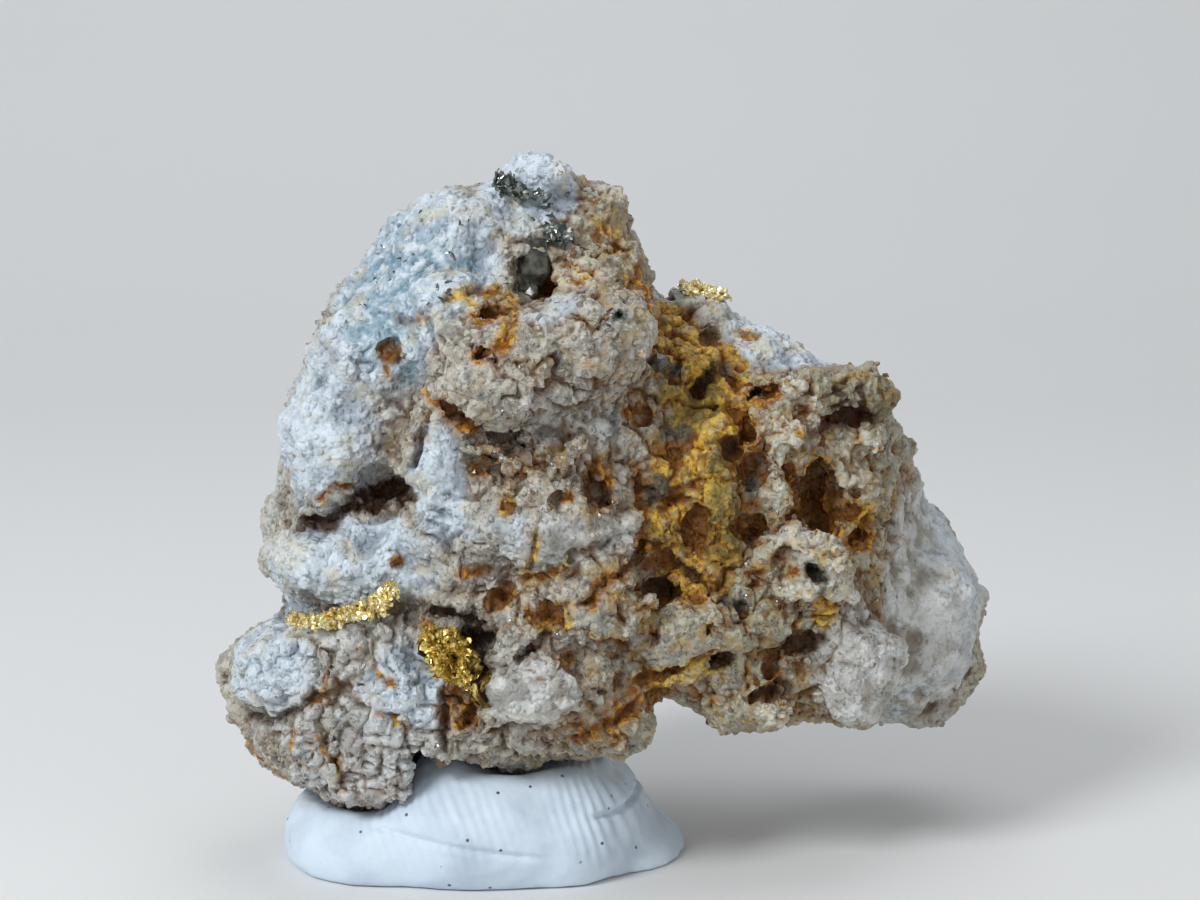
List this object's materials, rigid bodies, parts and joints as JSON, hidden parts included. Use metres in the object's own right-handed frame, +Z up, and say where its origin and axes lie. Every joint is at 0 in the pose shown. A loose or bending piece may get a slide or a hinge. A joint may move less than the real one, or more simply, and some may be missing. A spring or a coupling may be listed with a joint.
{
  "type": "gold on matrix",
  "caption": "Small mineral specimen: crumpled native gold in a lump of vuggy, iron-stained quartz, standing on a knob of white mounting putty.",
  "frame": {"origin": "middle of the overall footprint, on the surface that the putty stands on", "axes": "+X along the specimen's length, -Y the side that shows the gold, +Z up"},
  "size_m": [0.04, 0.023, 0.0358],
  "materials": {
    "quartz": "sugary, glassy grains, stained ochre and brown in the hollows",
    "native_gold": "crumpled bright metal",
    "grey_sulphide": "dark grey metallic crystals",
    "white_putty": "matte, with a finger's ridges"
  },
  "bodies": {
    "root": {"matrix": "quartz", "gold_seam": "native_gold", "gold_cluster": "native_gold", "gold_rim": "native_gold", "sulphide_summit": "grey_sulphide", "sulphide_fan": "grey_sulphide", "putty": "white_putty"}
  },
  "joints": []
}
